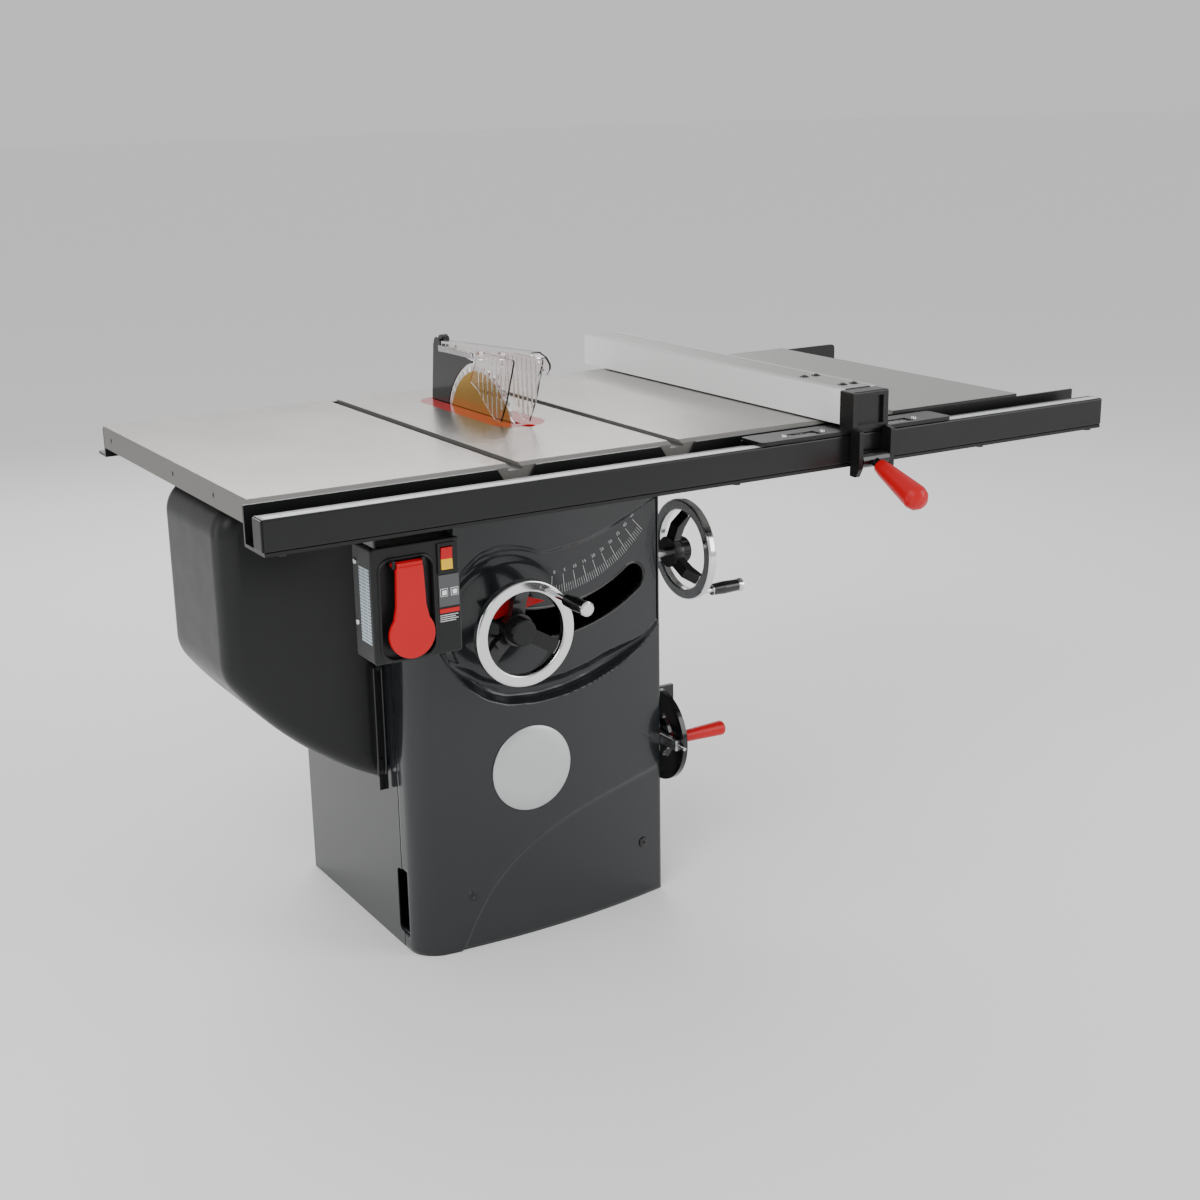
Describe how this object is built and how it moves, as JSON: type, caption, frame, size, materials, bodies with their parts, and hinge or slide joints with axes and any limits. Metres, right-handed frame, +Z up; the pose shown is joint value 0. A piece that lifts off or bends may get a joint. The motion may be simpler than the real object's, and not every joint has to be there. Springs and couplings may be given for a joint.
{
  "type": "table saw",
  "caption": "Cabinet table saw with cast wings, side extension, rip fence on a tube rail, tilting arbor, blade guard, handwheels, switch box and stored mitre gauge.",
  "frame": {"origin": "on the floor under the middle of the cabinet", "axes": "+X to the right along the fence rail, +Y to the back, +Z up"},
  "size_m": [1.574, 0.9718, 0.9915],
  "materials": {
    "panel": "semi-gloss paint",
    "steel_dark": "semi-gloss paint",
    "black_plastic": "satin moulded plastic",
    "bright_steel": "machined",
    "table_iron": "ground and polished",
    "red_gloss": "gloss",
    "laminate": "grey laminate board",
    "rail_paint": "satin powder coat",
    "grey_casting": "as cast and painted",
    "blade_steel": "gold coated",
    "belt_rubber": "ribbed",
    "black_steel": "gloss",
    "clear": "clear polycarbonate",
    "wheel_chrome": "chromed rim",
    "white_face": "smooth",
    "red_plastic": "satin",
    "black_casting": "satin paint"
  },
  "bodies": {
    "cabinet": {"front_panel": "panel", "cabinet_shell": "steel_dark", "base_pan": "steel_dark", "top_frame": "steel_dark", "dust_port": "black_plastic", "cover_hinges": "bright_steel", "main_table": "table_iron", "throat_insert": "red_gloss", "left_wing": "table_iron", "right_wing": "table_iron", "extension_table": "laminate", "rail_angle": "rail_paint", "rail_tube": "rail_paint", "rail_bolts": "bright_steel", "rear_rail": "rail_paint", "front_bracket": "grey_casting", "rear_bracket": "grey_casting", "worm_bracket": "grey_casting", "switch_box": "black_plastic", "switch_bracket": "steel_dark", "storage_hooks": "bright_steel"},
    "trunnion": {"trunnion_yoke": "grey_casting", "guide_posts": "bright_steel", "sector_gear": "grey_casting"},
    "arbor_carriage": {"arbor_block": "grey_casting", "arbor_bearings": "bright_steel", "motor_body": "grey_casting", "drive_belt": "belt_rubber", "blade_shroud": "black_plastic", "brake_cartridge": "black_plastic", "spreader": "black_steel", "guard_top": "clear"},
    "arbor": {"arbor_shaft": "bright_steel", "saw_blade": "blade_steel", "arbor_nut": "bright_steel"},
    "motor_rotor": {"motor_pulley": "bright_steel"},
    "pawls": {"kickback_pawls": "bright_steel"},
    "left_guard": {"left_shield": "clear"},
    "right_guard": {"right_shield": "clear"},
    "lift_screw_body": {"lift_screw": "bright_steel"},
    "elevation_drive": {"elevation_shaft": "bright_steel", "elevation_wheel": "wheel_chrome"},
    "elevation_handle": {"elevation_crank": "black_plastic"},
    "elevation_lock": {"elevation_knob": "black_plastic"},
    "tilt_drive": {"tilt_shaft": "bright_steel", "tilt_wheel": "wheel_chrome"},
    "tilt_handle": {"tilt_crank": "black_plastic"},
    "tilt_lock": {"tilt_knob": "black_plastic"},
    "fence": {"fence_tube": "rail_paint", "fence_faces": "white_face", "fence_head": "rail_paint"},
    "fence_clamp": {"fence_lever": "black_steel", "fence_handle": "red_plastic"},
    "paddle": {"stop_paddle": "red_plastic"},
    "rocker": {"power_rocker": "red_plastic"},
    "cover": {"motor_cover": "black_plastic"},
    "latch": {"cover_latch": "bright_steel"},
    "gauge": {"mitre_bar": "bright_steel", "mitre_handle": "red_plastic"},
    "gauge_head": {"mitre_head": "black_casting"}
  },
  "joints": [
    {"name": "tilt_wheel_turn", "type": "hinge", "parent": "cabinet", "child": "tilt_drive", "pos_m": [0.32, -0.184, 0.62], "axis": [-1, 0, 0], "range_deg": [0, 6885]},
    {"name": "blade_tilt", "type": "hinge", "parent": "cabinet", "child": "trunnion", "pos_m": [0.0197, 0, 0.864], "axis": [0, -1, 0], "range_deg": [0, 45.01]},
    {"name": "elevation_wheel_turn", "type": "hinge", "parent": "trunnion", "child": "elevation_drive", "pos_m": [-0.06899, -0.3, 0.5607], "axis": [0, -1, 0], "range_deg": [0, 7379]},
    {"name": "blade_height", "type": "slide", "parent": "trunnion", "child": "arbor_carriage", "axis": [0, 0, 1], "range_m": [-0.082, 0]},
    {"name": "lift_screw_turn", "type": "hinge", "parent": "trunnion", "child": "lift_screw_body", "pos_m": [-0.06899, -0.06, 0.5607], "axis": [0, 0, 1], "range_deg": [0, 7380]},
    {"name": "motor_spin", "type": "hinge", "parent": "arbor_carriage", "child": "motor_rotor", "pos_m": [-0.16, 0.04, 0.69], "axis": [1, 0, 0], "continuous": true},
    {"name": "blade_spin", "type": "hinge", "parent": "arbor_carriage", "child": "arbor", "pos_m": [0.0197, 0.0013, 0.818], "axis": [1, 0, 0], "continuous": true},
    {"name": "pawl_pivot", "type": "hinge", "parent": "arbor_carriage", "child": "pawls", "pos_m": [0.0197, 0.144, 0.958], "axis": [-1, 0, 0], "range_deg": [0, 4]},
    {"name": "left_guard_pivot", "type": "hinge", "parent": "trunnion", "child": "left_guard", "pos_m": [-0.0003, -0.0347, 0.968], "axis": [-1, 0, 0], "range_deg": [0, 22.01]},
    {"name": "right_guard_pivot", "type": "hinge", "parent": "trunnion", "child": "right_guard", "pos_m": [0.0397, -0.0567, 0.968], "axis": [-1, 0, 0], "range_deg": [0, 40]},
    {"name": "elevation_handle_spin", "type": "hinge", "parent": "elevation_drive", "child": "elevation_handle", "pos_m": [-0.01382, -0.3, 0.61724], "axis": [0, -1, 0], "continuous": true},
    {"name": "elevation_lock_turn", "type": "hinge", "parent": "elevation_drive", "child": "elevation_lock", "pos_m": [-0.06899, -0.3, 0.5607], "axis": [0, -1, 0], "continuous": true},
    {"name": "tilt_handle_spin", "type": "hinge", "parent": "tilt_drive", "child": "tilt_handle", "pos_m": [0.32, -0.20445, 0.54369], "axis": [1, 0, 0], "continuous": true},
    {"name": "tilt_lock_turn", "type": "hinge", "parent": "tilt_drive", "child": "tilt_lock", "pos_m": [0.32, -0.184, 0.62], "axis": [1, 0, 0], "continuous": true},
    {"name": "fence_slide", "type": "slide", "parent": "cabinet", "child": "fence", "axis": [1, 0, 0], "range_m": [-0.36, 0.34]},
    {"name": "fence_lock", "type": "hinge", "parent": "fence", "child": "fence_clamp", "pos_m": [0.472, -0.49, 0.812], "axis": [-1, 0, 0], "range_deg": [0, 60]},
    {"name": "stop_paddle_press", "type": "hinge", "parent": "cabinet", "child": "paddle", "pos_m": [-0.341, -0.447, 0.754], "axis": [1, 0, 0], "range_deg": [0, 4], "stiffness_Nm_per_rad": 6, "springref_deg": -5.73},
    {"name": "power_rocker_tip", "type": "hinge", "parent": "cabinet", "child": "rocker", "pos_m": [-0.277, -0.438, 0.75], "axis": [1, 0, 0], "range_deg": [-9, 9]},
    {"name": "cover_swing", "type": "hinge", "parent": "cabinet", "child": "cover", "pos_m": [-0.262, 0.166, 0.5], "axis": [0, 0, -1], "range_deg": [0, 110]},
    {"name": "cover_latch_swing", "type": "hinge", "parent": "cabinet", "child": "latch", "pos_m": [-0.259, -0.134, 0.495], "axis": [-1, 0, 0], "range_deg": [0, 60]},
    {"name": "gauge_lift", "type": "slide", "parent": "cabinet", "child": "gauge", "axis": [0, 0, 1], "range_m": [0, 0.05]},
    {"name": "gauge_head_turn", "type": "hinge", "parent": "gauge", "child": "gauge_head", "pos_m": [0.268, -0.166, 0.282], "axis": [1, 0, 0], "range_deg": [-58, 58]}
  ],
  "couplings": [
    {"joint": "blade_tilt", "follows": "tilt_wheel_turn", "ratio": 0.0065359},
    {"joint": "left_guard_pivot", "follows": "tilt_wheel_turn", "ratio": 0.0031954},
    {"joint": "blade_height", "follows": "elevation_wheel_turn", "m_per_rad": -0.00063662},
    {"joint": "lift_screw_turn", "follows": "elevation_wheel_turn", "ratio": 1},
    {"joint": "blade_spin", "follows": "motor_spin", "ratio": 1.1667}
  ]
}
